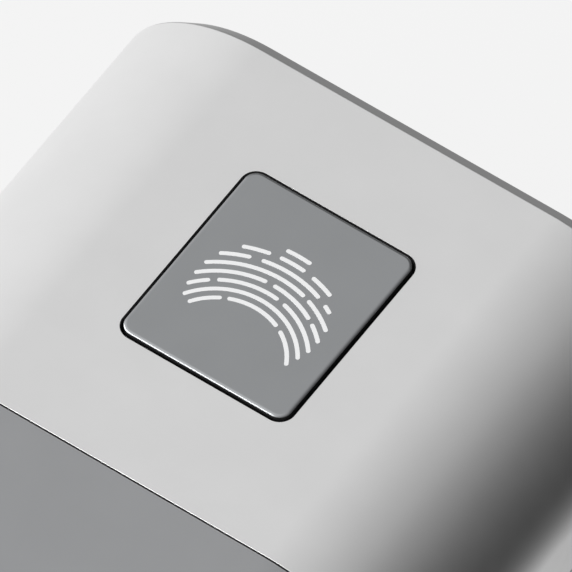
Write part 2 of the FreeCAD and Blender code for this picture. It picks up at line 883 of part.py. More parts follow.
def make_wall_plate():
    name = "wall_plate"
    body = new_body(name)
    add_plate(body, "plate_sheet", 0, size.plate_shift, 0, size.plate_width, size.plate_length,
              size.plate_thickness, size.recess_corner)
    cut_window(body, "plate_window", 0, size.cable_y, 0, size.plate_window_width,
               size.plate_window_length, size.plate_thickness, size.recess_corner)
    for index, (x, y) in enumerate(mirrored_places(size.wall_slot_x / 2, [-size.wall_slot_y / 2,
                                                                          size.wall_slot_y / 2])):
        cut_window(body, "wall_slot_%d" % (index + 1), x, y, 0, size.wall_slot_length,
                   size.wall_slot_width, size.plate_thickness, size.wall_slot_width * size.slot_round)
    drill(body, "box_hole", 0, size.plate_thickness, size.box_hole,
          [(0, -size.box_hole_y / 2), (0, size.box_hole_y / 2)])
    drill(body, "stud_hole", 0, size.plate_thickness, size.stud_neck, stud_places())
    add_ramp(body)
    return finish_part(body, name)


def add_ramp(body):
    """The ramp that lifts the tamper plunger: highest under it, falling towards +Y."""
    run = size.plate_slide + size.ramp_lead * 2
    start = size.tamper_y - size.ramp_lead
    fall = run * size.ramp_slope
    sketch = new_sketch(body, "ramp", "YZ_Plane", start, size.plate_thickness,
                        size.tamper_x - size.ramp_width / 2)
    corners = [(0, 0), (run.value, 0), (run.value, (size.ramp_top - fall).value), (0, size.ramp_top.value)]
    edges = [add_line(sketch, *pair) for pair in zip(corners, corners[1:] + corners[:1])]
    join_loop(sketch, edges, "Coincident")
    constrain(sketch, "Coincident", edges[0], 1, -1, 1)
    constrain(sketch, "Horizontal", edges[0])
    for upright in (edges[1], edges[3]):
        constrain(sketch, "Vertical", upright)
    constrain(sketch, "DistanceX", edges[0], 1, edges[0], 2, run)
    constrain(sketch, "DistanceY", edges[1], 1, edges[1], 2, size.ramp_top - fall)
    constrain(sketch, "DistanceY", edges[0], 1, edges[2], 2, size.ramp_top)
    pad_up(body, "ramp", sketch, size.ramp_width)


def make_plate_studs():
    studs = []
    neck_top = floor_top + size.fit_gap
    for index, (x, y) in enumerate(stud_places(), start=1):
        neck = make_cylinder("stud_%d_neck" % index, x, y, 0, size.stud_neck, neck_top)
        head = make_cylinder("stud_%d_head" % index, x, y, neck_top, size.stud_head,
                             size.stud_head_height)
        studs.append(fuse("stud_%d" % index, [neck, head]))
    return finish_part(group("stud_set", studs), "plate_studs")


def make_cable_grommet():
    name = "cable_grommet"
    body = new_body(name)
    centre = [(0, size.cable_y)]
    lower = recess_face - size.grommet_lip
    total = size.grommet_lip * 2 + size.rear_floor
    add_posts(body, "grommet_neck", lower, total, size.grommet_neck, centre)
    add_posts(body, "grommet_lower_lip", lower, size.grommet_lip, size.grommet_flange, centre)
    add_posts(body, "grommet_upper_lip", floor_top, size.grommet_lip, size.grommet_flange, centre)
    drill(body, "grommet_bore", lower, total, size.grommet_bore, centre)
    return finish_part(body, name)


def make_tamper_switch():
    x, y = size.tamper_x, size.tamper_y
    high_side = size.ramp_lead - size.plunger_diameter / 2
    tip = size.plate_thickness + size.ramp_top - high_side * size.ramp_slope + size.plunger_play
    collar_base = rim_top + size.ramp_slope * size.plate_slide + size.fit_gap
    stem_top = collar_base + size.plunger_collar_height + size.plunger_stem
    stem = make_cylinder("plunger_stem", x, y, tip, size.plunger_diameter, stem_top - tip)
    collar = make_cylinder("plunger_collar", x, y, collar_base, size.plunger_collar,
                           size.plunger_collar_height)
    finish_part(fuse("plunger", [stem, collar]), "tamper_plunger")
    body_base = board_base - size.tamper_body_height
    spring_base = collar_base + size.plunger_collar_height
    spring = make_spring("plunger_spring", x, y, spring_base, body_base - spring_base,
                         size.plunger_collar, size.spring_wire, size.spring_pitch)
    finish_part(spring, "tamper_spring")
    block = make_box("tamper_block", x, y, body_base, size.tamper_body, size.tamper_body,
                     size.tamper_body_height)
    well = make_cylinder("tamper_well", x, y, body_base, size.plunger_diameter + size.fit_gap,
                         stem_top + size.fit_gap - body_base)
    finish_part(cut_from("tamper_case", block, well), "tamper_switch")


# ---------------------------------------------------------------- scanner pad

def make_scan_pad():
    """The coated window that the finger presses, whose edge rolls off."""
    name = "scan_pad"
    body = new_body(name)
    block = add_plate(body, "window_plate", 0, size.pad_y, window_base, pad_width, pad_length,
                      size.window_thickness, pad_corner)
    slope_edges(body, block, "window_edge", at_level(pad_top), size.pad_edge_drop, size.pad_edge_width)
    return finish_part(body, name)


def make_pad_carrier():
    """The frame that holds the window and the sensor, with the flange that stops it."""
    name = "pad_carrier"
    body = new_body(name)
    add_plate(body, "carrier_block", 0, size.pad_y, flange_base, pad_width, pad_length,
              window_base - flange_base, pad_corner)
    add_plate(body, "pad_flange", 0, size.pad_y, flange_base, size.flange_width,
              size.flange_length, size.flange_thickness, size.opening_corner)
    cut_window(body, "carrier_window", 0, size.pad_y, flange_base, pad_width - size.carrier_wall * 2,
               pad_length - size.carrier_wall * 2, window_base - flange_base, pad_corner / 2)
    return finish_part(body, name)


def make_scan_symbol():
    """The printed finger symbol: rows of round-ended strokes about one centre."""
    name = "scan_symbol"
    body = new_body(name)
    for row, strokes in enumerate(SYMBOL_ROWS):
        radius = size.symbol_radius + row * size.symbol_pitch
        for index, (start, end) in enumerate(strokes, start=1):
            label = "stroke_%d_%d" % (row + 1, index)
            sketch = plan_sketch(body, label, 0, size.pad_y - size.symbol_drop, pad_top)
            draw_stroke(sketch, radius, size.stroke_width, start, end)
            pad_up(body, label, sketch, size.ink_height)
    return finish_part(body, name)


def make_sensor_stack():
    die_base = window_base - size.die_thickness
    finish_part(make_box("die_block", 0, size.pad_y, die_base, size.die_width, size.die_length,
                         size.die_thickness), "sensor_die")
    board_level = die_base - size.sensor_thickness
    finish_part(make_box("sensor_block", 0, size.pad_y, board_level, size.sensor_width,
                         size.sensor_length, size.sensor_thickness), "sensor_board")
    finish_part(make_box("backing_block", 0, size.pad_y, board_level - size.backing_thickness,
                         size.sensor_width, size.sensor_length, size.backing_thickness), "pad_backing")
    return board_level - size.backing_thickness


def make_pad_seal():
    """A thin rubber sleeve that lines the opening."""
    name = "pad_seal"
    body = new_body(name)
    level = front_face - size.seal_drop - size.seal_height
    add_plate(body, "seal_band", 0, size.pad_y, level, size.opening_width, size.opening_length,
              size.seal_height, size.opening_corner)
    cut_window(body, "seal_inside", 0, size.pad_y, level, size.opening_width - size.seal_wall * 2,
               size.opening_length - size.seal_wall * 2, size.seal_height,
               size.opening_corner - size.seal_wall)
    return finish_part(body, name)


def make_sensor_tray():
    name = "sensor_tray"
    body = new_body(name)
    add_plate(body, "tray_block", 0, size.pad_y, tray_face, size.tray_width, size.tray_length,
              flange_top - tray_face, size.opening_corner)
    for index, y in enumerate((size.pad_y - size.ear_y, size.pad_y + size.ear_y), start=1):
        add_plate(body, "tray_ear_%d" % index, 0, y, tray_base, size.ear_x * 2 + size.ear_diameter,
                  size.ear_diameter, size.tray_floor)
    cut_window(body, "tray_hollow", 0, size.pad_y, tray_base, size.tray_width - size.tray_wall * 2,
               size.tray_length - size.tray_wall * 2, size.tray_depth * 2, size.opening_corner / 2)
    drill(body, "tray_screw_hole", tray_base, size.tray_floor, size.small_screw_hole, tray_places())
    cut_window(body, "tray_flex_slot", 0, size.sensor_flex_y, tray_face, size.flex_slot_width,
               size.flex_slot_length, size.tray_floor)
    return finish_part(body, name)


def make_pad_springs(pad_underside):
    springs = []
    places = mirrored_places(size.spring_x, [size.pad_y - size.spring_y, size.pad_y + size.spring_y])
    for index, (x, y) in enumerate(places, start=1):
        springs.append(make_spring("pad_spring_%d" % index, x, y, tray_base,
                                   pad_underside - tray_base, size.spring_diameter,
                                   size.spring_wire, size.spring_pitch))
    return finish_part(group("pad_spring_set", springs), "pad_springs")


def make_press_switch(pad_underside):
    block = make_box("switch_block", 0, size.pad_y, tray_base, size.switch_side, size.switch_side,
                     size.switch_height)
    button_base = tray_base + size.switch_height - size.button_hidden
    well = make_cylinder("switch_well", 0, size.pad_y, button_base - size.pad_travel - size.fit_gap,
                         size.button_diameter + size.fit_gap * 2, size.switch_height)
    finish_part(cut_from("switch_case", block, well), "press_switch")
    button = make_cylinder("button_rod", 0, size.pad_y, button_base, size.button_diameter,
                           pad_underside - button_base)
    finish_part(button, "switch_button")


# ---------------------------------------------------------------- boards and what they carry

def make_main_board():
    name = "main_board"
    body = new_body(name)
    add_plate(body, "board_sheet", 0, 0, board_base, size.board_width, size.board_length,
              size.board_thickness, size.board_corner)
    drill(body, "boss_hole", board_base, size.board_thickness, size.boss_clearance,
          casing_screw_places())
    drill(body, "mount_hole", board_base, size.board_thickness, size.small_screw_hole,
          main_board_places())
    return finish_part(body, name)


def make_processor_shield():
    outside = make_box("shield_outside", 0, size.shield_y, board_top, size.shield_width,
                       size.shield_length, size.shield_height)
    inside = make_box("shield_inside", 0, size.shield_y, board_top, size.shield_width - size.shield_wall * 2,
                      size.shield_length - size.shield_wall * 2, size.shield_height - size.shield_wall)
    return finish_part(cut_from("shield_can", outside, inside), "processor_shield")


def make_relay():
    return finish_part(make_box("relay_block", size.relay_x, size.relay_y, board_top,
                                size.relay_width, size.relay_length, size.relay_height), "door_relay")


def make_backup_cell():
    floor = size.holder_height - size.cell_height
    block = make_box("holder_block", size.cell_x, size.cell_y, board_top, size.holder_side,
                     size.holder_side, size.holder_height)
    well = make_cylinder("holder_well", size.cell_x, size.cell_y, board_top + floor,
                         size.cell_diameter + size.fit_gap * 2, size.holder_height)
    finish_part(cut_from("holder_case", block, well), "cell_holder")
    cell = make_cylinder("cell_can", size.cell_x, size.cell_y, board_top + floor,
                         size.cell_diameter, size.cell_height)
    finish_part(cell, "backup_cell")


def make_wire_terminals():
    ways = int(size.terminal_ways.value)
    base = board_base - size.terminal_height
    block = make_box("terminal_case", 0, size.terminal_y, base, size.terminal_ways * size.terminal_pitch,
                     size.terminal_depth, size.terminal_height)
    screws = []
    wells = []
    for index in range(ways):
        x = (index - (ways - 1) / 2) * size.terminal_pitch
        screws.append(make_cylinder("terminal_screw_%d" % (index + 1), x, size.terminal_y, base,
                                    size.terminal_screw, size.terminal_screw_depth))
        wells.append(make_cylinder("terminal_well_%d" % (index + 1), x, size.terminal_y, base,
                                   size.terminal_screw + size.fit_gap, size.terminal_screw_depth))
        wire_way = make_cylinder("terminal_wire_%d" % (index + 1), x,
                                 size.terminal_y + size.terminal_depth / 2,
                                 base + size.terminal_wire_level, size.terminal_wire_hole,
                                 size.terminal_wire_depth)
        wire_way.Placement.Rotation = FreeCAD.Rotation(FreeCAD.Vector(1, 0, 0), 90)
        wells.append(wire_way)
    finish_part(cut_from("terminal_body", block, fuse("terminal_wells", wells)), "wire_terminals")
    finish_part(group("terminal_screw_set", screws), "terminal_screws")


def make_front_board():
    name = "front_board"
    body = new_body(name)
    add_plate(body, "front_sheet", 0, size.front_board_y, front_board_base, size.front_board_width,
              size.front_board_length, size.front_board_thickness, size.board_corner)
    drill(body, "front_hole", front_board_base, size.front_board_thickness, size.small_screw_hole,
          front_board_places())
    return finish_part(body, name)


def make_antenna_coil():
    loops = []
    for index in range(int(size.loop_count.value)):
        inset = index * size.loop_pitch * 2
        outside = make_box("loop_%d_outside" % (index + 1), 0, size.loop_y, front_board_top,
                           size.loop_width - inset, size.loop_length - inset, size.loop_height)
        inside = make_box("loop_%d_inside" % (index + 1), 0, size.loop_y, front_board_top,
                          size.loop_width - inset - size.loop_track * 2,
                          size.loop_length - inset - size.loop_track * 2, size.loop_height)
        loops.append(cut_from("loop_%d" % (index + 1), outside, inside))
    return finish_part(group("loop_set", loops), "antenna_coil")


def make_status_light():
    leds = [make_box("led_%d" % (index + 2), index * size.led_pitch, size.light_y, front_board_top,
                     size.led_side, size.led_side, size.led_height) for index in (-1, 0, 1)]
    finish_part(group("led_set", leds), "status_leds")
    name = "light_guide"
    body = new_body(name)
    foot = front_board_top + size.led_height + size.fit_gap
    gap = size.fit_gap / 2
    add_plate(body, "guide_bar", 0, size.light_y, foot, size.light_width - gap * 2,
              size.light_height - gap * 2, front_face - foot, size.light_height * size.slot_round - gap)
    add_plate(body, "guide_flange", 0, size.light_y, foot, size.light_width + size.cover_wall,
              size.light_height + size.cover_wall, cover_inside - gap - foot)
    return finish_part(body, name)


def make_sounder():
    can = make_cylinder("sounder_can", 0, size.sounder_y, front_board_top, size.sounder_diameter,
                        size.sounder_height)
    finish_part(can, "sounder")
    span = size.slot_count * size.slot_pitch
    mesh = make_box("mesh_sheet", 0, size.sounder_y, cover_inside - size.mesh_thickness,
                    size.slot_length + size.cover_wall, span, size.mesh_thickness)
    finish_part(mesh, "sound_mesh")


def make_flat_cables(pad_underside):
    """The two flat cables and the plugs that they lie in."""
    plug_top = board_top + size.plug_height
    sensor = make_box("sensor_flex_strip", 0, size.sensor_flex_y, plug_top, size.flex_width,
                      size.flex_thickness, pad_underside - plug_top)
    finish_part(sensor, "sensor_flex")
    front_plug_base = front_board_base - size.plug_height
    link = make_box("front_flex_strip", 0, size.flex_y, plug_top, size.flex_width,
                    size.flex_thickness, front_plug_base - plug_top)
    finish_part(link, "front_flex")
    plugs = [make_box("sensor_plug", 0, size.sensor_flex_y, board_top, size.plug_width,
                      size.plug_depth, size.plug_height),
             make_box("board_plug", 0, size.flex_y - size.plug_depth / 2, board_top, size.plug_width,
                      size.plug_depth, size.plug_height),
             make_box("front_plug", 0, size.flex_y, front_plug_base, size.plug_width,
                      size.plug_depth, size.plug_height)]
    finish_part(group("plug_set", plugs), "flex_connectors")


# ---------------------------------------------------------------- the whole terminal

def build():
    make_upper_cover()
    make_lower_cover()
    make_mid_frame()
    make_rear_housing()
    make_gasket("front_gasket", rim_top)
    make_gasket("rear_gasket", rear_top)
    make_casing_fasteners()
    make_wall_plate()
    make_plate_studs()
    make_cable_grommet()
    make_tamper_switch()
    make_scan_pad()
    make_pad_carrier()
    make_scan_symbol()
    pad_underside = make_sensor_stack()
    make_pad_seal()
    make_sensor_tray()
    make_pad_springs(pad_underside)
    make_press_switch(pad_underside)
    make_main_board()
    make_processor_shield()
    make_relay()
    make_backup_cell()
    make_wire_terminals()
    make_front_board()
    make_antenna_coil()
    make_status_light()
    make_sounder()
    make_flat_cables(pad_underside)
    make_small_screws("tray_screws", tray_places(), tray_base, size.small_screw_length, True)
    make_small_screws("main_board_screws", main_board_places(), board_top, size.small_screw_length, False)
    make_small_screws("front_board_screws", front_board_places(), front_board_base,
                      size.front_screw_length, True)


def check_document():
    for item in doc.Objects:
        if "Invalid" in item.State or "Error" in item.State:
            raise RuntimeError("%s failed: %s" % (item.Name, item.State))
    for piece in sub_parts:
        if piece.Shape.isNull() or not piece.Shape.isValid():
            raise RuntimeError("%s has no valid shape" % piece.Label)


def write_parts():
    os.makedirs("parts", exist_ok=True)
    for piece in sub_parts:
        piece.Shape.exportStep(os.path.join("parts", piece.Label + ".step"))
        box = piece.Shape.BoundBox
        print("%-20s %3d solids  %8.1f mm3  z %6.2f to %6.2f" % (
            piece.Label, len(piece.Shape.Solids), piece.Shape.Volume, box.ZMin, box.ZMax))


build()
doc.recompute()
check_document()
write_parts()
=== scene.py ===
import json
import math

import bmesh
import bpy
from mathutils import Matrix, Vector

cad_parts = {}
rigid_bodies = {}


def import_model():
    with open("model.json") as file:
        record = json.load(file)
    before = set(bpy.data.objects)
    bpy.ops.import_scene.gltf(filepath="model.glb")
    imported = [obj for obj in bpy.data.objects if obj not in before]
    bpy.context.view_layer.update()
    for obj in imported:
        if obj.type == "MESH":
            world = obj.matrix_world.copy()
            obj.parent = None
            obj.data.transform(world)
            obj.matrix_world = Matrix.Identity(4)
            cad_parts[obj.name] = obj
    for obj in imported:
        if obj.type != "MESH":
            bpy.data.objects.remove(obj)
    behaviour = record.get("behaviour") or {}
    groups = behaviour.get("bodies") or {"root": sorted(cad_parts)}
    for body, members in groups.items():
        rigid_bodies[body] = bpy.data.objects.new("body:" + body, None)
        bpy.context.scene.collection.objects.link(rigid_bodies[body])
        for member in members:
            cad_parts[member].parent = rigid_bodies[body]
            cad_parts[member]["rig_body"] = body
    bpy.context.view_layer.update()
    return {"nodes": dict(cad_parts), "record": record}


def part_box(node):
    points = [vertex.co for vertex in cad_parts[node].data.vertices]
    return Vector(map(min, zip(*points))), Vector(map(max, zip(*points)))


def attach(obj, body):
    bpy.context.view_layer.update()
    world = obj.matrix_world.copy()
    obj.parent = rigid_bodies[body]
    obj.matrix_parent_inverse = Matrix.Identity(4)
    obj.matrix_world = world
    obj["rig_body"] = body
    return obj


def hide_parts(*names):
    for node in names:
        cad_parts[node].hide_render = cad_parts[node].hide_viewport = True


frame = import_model()
nodes = frame["nodes"]

MM = 0.001

# ---------------------------------------------------------------- camera, floor and light

# The backdrop's brightness. The floor glows and takes light so that it looks about the same.
PALE = 0.896
FLOOR_COLOR = 0.03
FLOOR_GLOW = 0.875
FLOOR_HALF = 30.0                 # metres
FLOOR_DROP = 0.05                 # below the wall plate, so that the two don't flicker

BACK = Vector((0.3244, -0.4666, 0.8228))
AIM_X = 0.81                      # from the pad's middle to the point the camera looks at
AIM_Y = 2.13
LENS_RATIO = 45.0                 # the camera's distance as a multiple of the width it sees
VIEW_WIDTH = 59.6 * MM
SENSOR = 36.0
CLIP_NEAR = 0.1
CLIP_FAR = 30.0

STRIP_LENGTH = 1.5
STRIP_WIDTH = 0.16
STRIP_ENERGY = 7.0
STRIP_FRONT = Vector((-0.30, -0.82, 0.47))
STRIP_SIDE = Vector((-0.97, -0.2, 0.12))

# Brightness of the studio round the terminal's long axis, by the angle from straight above,
# in degrees: the soft light stands to the left, past -X, and the dark side is low on the right.
STUDIO_RING = [
    (-180, 0.83),
    (-150, 0.915),
    (-110, 0.98),
    (-75, 0.99),
    (-45, 0.955),
    (-21, 0.863),
    (0, 0.735),
    (27, 0.545),
    (50, 0.315),
    (72, 0.16),
    (95, 0.086),
    (114, 0.05),
    (130, 0.13),
    (148, 0.46),
    (160, 0.73),
    (180, 0.83),
]

# How that brightness changes along the terminal, from -Y in front to +Y behind the scanner end.
DEPTH_FALL = [
    (-1.0, 1.4),
    (0.05, 1.3),
    (0.36, 1.0),
    (0.45, 1.0),
    (0.56, 0.58),
    (0.82, 0.25),
    (1.0, 0.2),
]


def camera_target():
    """The point on the front face at the middle of the picture."""
    low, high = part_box("scan_pad")
    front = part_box("upper_cover")[1].z
    return Vector(((low.x + high.x) / 2 + AIM_X * MM, (low.y + high.y) / 2 + AIM_Y * MM, front))


def make_camera():
    data = bpy.data.cameras.new("camera")
    data.sensor_width = SENSOR
    data.lens = SENSOR * LENS_RATIO
    data.clip_start = CLIP_NEAR
    data.clip_end = CLIP_FAR
    camera = bpy.data.objects.new("camera", data)
    back = BACK.normalized()
    camera.location = camera_target() + back * VIEW_WIDTH * LENS_RATIO
    camera.rotation_euler = back.to_track_quat("Z", "Y").to_euler()
    bpy.context.scene.collection.objects.link(camera)
    bpy.context.scene.camera = camera


def fill_ramp(ramp, stops):
    """Set a colour ramp's stops from (position, brightness) pairs."""
    elements = ramp.color_ramp.elements
    while len(elements) > 1:
        elements.remove(elements[-1])
    for index, (position, value) in enumerate(stops):
        element = elements[0] if index == 0 else elements.new(position)
        element.position = position
        element.color = (value, value, value, 1)


def make_studio():
    """A plain pale backdrop that the object sees as one broad soft light from the left."""
    world = bpy.data.worlds.new("studio")
    world.use_nodes = True
    bpy.context.scene.world = world
    tree = world.node_tree
    tree.nodes.clear()
    link = tree.links.new
    output = tree.nodes.new("ShaderNodeOutputWorld")
    direction = tree.nodes.new("ShaderNodeTexCoord")
    split = tree.nodes.new("ShaderNodeSeparateXYZ")
    link(direction.outputs["Generated"], split.inputs[0])
    angle = tree.nodes.new("ShaderNodeMath")
    angle.operation = "ARCTAN2"
    link(split.outputs["X"], angle.inputs[0])
    link(split.outputs["Z"], angle.inputs[1])
    turn = tree.nodes.new("ShaderNodeMapRange")
    turn.inputs["From Min"].default_value = -math.pi
    turn.inputs["From Max"].default_value = math.pi
    link(angle.outputs[0], turn.inputs["Value"])
    ring = tree.nodes.new("ShaderNodeValToRGB")
    ring.color_ramp.interpolation = "EASE"
    fill_ramp(ring, [((degrees + 180) / 360, value) for degrees, value in STUDIO_RING])
    link(turn.outputs["Result"], ring.inputs["Fac"])
    depth = tree.nodes.new("ShaderNodeMapRange")
    depth.inputs["From Min"].default_value = -1.0
    link(split.outputs["Y"], depth.inputs["Value"])
    fall = tree.nodes.new("ShaderNodeValToRGB")
    fill_ramp(fall, [((y + 1) / 2, value) for y, value in DEPTH_FALL])
    link(depth.outputs["Result"], fall.inputs["Fac"])
    both = tree.nodes.new("ShaderNodeMixRGB")
    both.blend_type = "MULTIPLY"
    both.inputs["Fac"].default_value = 1.0
    link(ring.outputs["Color"], both.inputs["Color1"])
    link(fall.outputs["Color"], both.inputs["Color2"])
    light = tree.nodes.new("ShaderNodeBackground")
    link(both.outputs["Color"], light.inputs["Color"])
    backdrop = tree.nodes.new("ShaderNodeBackground")
    backdrop.inputs["Color"].default_value = (PALE, PALE, PALE, 1)
    path = tree.nodes.new("ShaderNodeLightPath")
    choice = tree.nodes.new("ShaderNodeMixShader")
    link(path.outputs["Is Camera Ray"], choice.inputs["Fac"])
    link(light.outputs[0], choice.inputs[1])
    link(backdrop.outputs[0], choice.inputs[2])
    link(choice.outputs[0], output.inputs["Surface"])


def make_floor():
    """A pale plain floor just under the terminal, which takes only a faint contact shadow."""
    half = FLOOR_HALF
    level = -FLOOR_DROP * MM
    mesh = bpy.data.meshes.new("floor")
    corners = [(-half, -half, level), (half, -half, level), (half, half, level), (-half, half, level)]
    mesh.from_pydata(corners, [], [(0, 1, 2, 3)])
    floor = bpy.data.objects.new("floor", mesh)
    bpy.context.scene.collection.objects.link(floor)
    material = bpy.data.materials.new("floor_paint")
    material.use_nodes = True
    shader = material.node_tree.nodes["Principled BSDF"]
    shader.inputs["Base Color"].default_value = (FLOOR_COLOR, FLOOR_COLOR, FLOOR_COLOR, 1)
    shader.inputs["Roughness"].default_value = 1.0
    shader.inputs["Specular IOR Level"].default_value = 0.0
    shader.inputs["Emission Color"].default_value = (1, 1, 1, 1)
    shader.inputs["Emission Strength"].default_value = FLOOR_GLOW
    mesh.materials.append(material)
    floor.visible_glossy = False
    floor.visible_diffuse = False


def make_strip_light():
    """A long lamp from low in front round to the left, for the thin highlights on near edges."""
    data = bpy.data.lights.new("strip_light", "AREA")
    data.shape = "RECTANGLE"
    data.size = STRIP_LENGTH
    data.size_y = STRIP_WIDTH
    data.energy = STRIP_ENERGY
    light = bpy.data.objects.new("strip_light", data)
    toward = (STRIP_FRONT + STRIP_SIDE).normalized()
    along = (STRIP_SIDE - STRIP_FRONT).normalized()
    across = toward.cross(along)
    light.location = camera_target() + toward
    light.rotation_euler = Matrix((along, across, toward)).transposed().to_euler()
    light.visible_camera = False
    bpy.context.scene.collection.objects.link(light)


# ---------------------------------------------------------------- materials

def new_material(name, color, roughness, metallic=0.0):
    """A material with its plain values on the shader; returns it with its tree and shader."""
    material = bpy.data.materials.new(name)
    material.use_nodes = True
    shader = material.node_tree.nodes["Principled BSDF"]
    shader.inputs["Base Color"].default_value = (*color, 1)
    shader.inputs["Roughness"].default_value = roughness
    shader.inputs["Metallic"].default_value = metallic
    return material, material.node_tree, shader


def object_space(tree, stretch=(1, 1, 1)):
    """Object coordinates in metres, stretched along each axis."""
    place = tree.nodes.new("ShaderNodeTexCoord")
    scale = tree.nodes.new("ShaderNodeMapping")
    scale.inputs["Scale"].default_value = stretch
    tree.links.new(place.outputs["Object"], scale.inputs["Vector"])
    return scale.outputs["Vector"]


def noise(tree, size, detail=3.0, stretch=(1, 1, 1)):
    """Noise whose blobs are about size metres across."""
    texture = tree.nodes.new("ShaderNodeTexNoise")
    texture.inputs["Scale"].default_value = 1 / size
    texture.inputs["Detail"].default_value = detail
    tree.links.new(object_space(tree, stretch), texture.inputs["Vector"])
    return texture.outputs["Fac"]


def cells(tree, size):
    """A cell pattern whose cells are about size metres across."""
    texture = tree.nodes.new("ShaderNodeTexVoronoi")
    texture.inputs["Scale"].default_value = 1 / size
    tree.links.new(object_space(tree), texture.inputs["Vector"])
    return texture.outputs["Distance"]


def spread(tree, source, low, high):
    """Map a pattern's 0.3 to 0.7, where noise mostly lies, to low..high."""
    span = tree.nodes.new("ShaderNodeMapRange")
    span.inputs["From Min"].default_value = 0.3
    span.inputs["From Max"].default_value = 0.7
    span.inputs["To Min"].default_value = low
    span.inputs["To Max"].default_value = high
    tree.links.new(source, span.inputs["Value"])
    return span.outputs["Result"]


def vary_roughness(tree, shader, source, low, high):
    tree.links.new(spread(tree, source, low, high), shader.inputs["Roughness"])


def vary_color(tree, shader, source, dark, light):
    ramp = tree.nodes.new("ShaderNodeValToRGB")
    elements = ramp.color_ramp.elements
    elements[0].position, elements[0].color = 0.3, (*dark, 1)
    elements[1].position, elements[1].color = 0.7, (*light, 1)
    tree.links.new(source, ramp.inputs["Fac"])
    tree.links.new(ramp.outputs["Color"], shader.inputs["Base Color"])


def add_bump(tree, shader, source, height, strength=1.0):
    """Raise the surface by height metres where the pattern is 1."""
    bump = tree.nodes.new("ShaderNodeBump")
    bump.inputs["Strength"].default_value = strength
    bump.inputs["Distance"].default_value = height
    tree.links.new(source, bump.inputs["Height"])
    before = shader.inputs["Normal"]
    if before.is_linked:
        tree.links.new(before.links[0].from_socket, bump.inputs["Normal"])
    tree.links.new(bump.outputs["Normal"], before)


def tint(color, share):
    return tuple(part * share for part in color)


def anodised(name, color):
    """Bead-blasted, anodised aluminium: a very fine even grain under a satin sheen."""
    material, tree, shader = new_material(name, color, 0.32, 1.0)
    vary_color(tree, shader, noise(tree, 9 * MM), tint(color, 0.985), tint(color, 1.015))
    vary_roughness(tree, shader, noise(tree, 2 * MM), 0.31, 0.335)
    add_bump(tree, shader, noise(tree, 0.16 * MM, 2.0), 0.0006 * MM)
    return material


def silver_shell():
    return anodised("silver_shell", (0.85, 0.85, 0.85))


def grey_shell():
    return anodised("grey_shell", (0.403, 0.409, 0.419))


def frame_metal():
    """Machined aluminium with fine lines that run round the rim."""
    color = (0.80, 0.80, 0.80)
    material, tree, shader = new_material("frame_metal", color, 0.3, 1.0)
    lines = noise(tree, 0.25 * MM, 3.0, (0.05, 0.05, 1))
    vary_roughness(tree, shader, lines, 0.26, 0.36)
    add_bump(tree, shader, lines, 0.002 * MM)
    return material


def moulded(name, color, roughness, grain):
    """Moulded plastic with a fine spark-eroded grain."""
    material, tree, shader = new_material(name, color, roughness)
    vary_color(tree, shader, noise(tree, 7 * MM), tint(color, 0.94), tint(color, 1.06))
    vary_roughness(tree, shader, noise(tree, 1.2 * MM), roughness - 0.05, roughness + 0.05)
    add_bump(tree, shader, cells(tree, grain), 0.012 * MM, 0.6)
    return material


def dark_casing():
    return moulded("dark_casing", (0.036, 0.037, 0.039), 0.5, 0.45 * MM)


def black_moulding():
    return moulded("black_moulding", (0.018, 0.018, 0.019), 0.45, 0.3 * MM)


def terminal_green():
    return moulded("terminal_green", (0.03, 0.21, 0.08), 0.4, 0.5 * MM)


def black_rubber():
    color = (0.012, 0.012, 0.0125)
    material, tree, shader = new_material("black_rubber", color, 0.75)
    shader.inputs["Specular IOR Level"].default_value = 0.25
    vary_color(tree, shader, noise(tree, 3 * MM), tint(color, 0.8), tint(color, 1.5))
    vary_roughness(tree, shader, noise(tree, 0.8 * MM), 0.68, 0.85)
    add_bump(tree, shader, noise(tree, 0.25 * MM), 0.015 * MM)
    return material


def pad_grey():
    """The sensor's satin metallic coating."""
    color = (0.365, 0.375, 0.385)
    material, tree, shader = new_material("pad_grey", color, 0.3, 1.0)
    vary_color(tree, shader, noise(tree, 6 * MM), tint(color, 0.985), tint(color, 1.015))
    vary_roughness(tree, shader, noise(tree, 1.5 * MM), 0.29, 0.31)
    add_bump(tree, shader, noise(tree, 0.12 * MM, 2.0), 0.0008 * MM)
    return material


def white_ink():
    color = (0.93, 0.935, 0.94)
    material, tree, shader = new_material("white_ink", color, 0.5)
    vary_color(tree, shader, noise(tree, 0.5 * MM), tint(color, 0.98), color)
    add_bump(tree, shader, noise(tree, 0.08 * MM), 0.002 * MM)
    return material


def sensor_glass():
    color = (0.02, 0.021, 0.024)
    material, tree, shader = new_material("sensor_glass", color, 0.12)
    vary_roughness(tree, shader, noise(tree, 0.05 * MM, 1.0), 0.08, 0.18)
    vary_color(tree, shader, noise(tree, 2 * MM), color, tint(color, 1.4))
    return material


def circuit_green():
    """Solder mask over a faint relief of tracks."""
    color = (0.012, 0.10, 0.045)
    material, tree, shader = new_material("circuit_green", color, 0.3)
    tracks = tree.nodes.new("ShaderNodeTexBrick")
    tracks.inputs["Scale"].default_value = 1 / (9 * MM)
    tracks.inputs["Mortar Size"].default_value = 0.03
    tracks.inputs["Color1"].default_value = (*color, 1)
    tracks.inputs["Color2"].default_value = (*tint(color, 0.9), 1)
    tracks.inputs["Mortar"].default_value = (*tint(color, 1.9), 1)
    tree.links.new(object_space(tree), tracks.inputs["Vector"])
    tree.links.new(tracks.outputs["Color"], shader.inputs["Base Color"])
    add_bump(tree, shader, tracks.outputs["Fac"], 0.02 * MM)
    vary_roughness(tree, shader, noise(tree, 0.4 * MM), 0.25, 0.36)
    return material


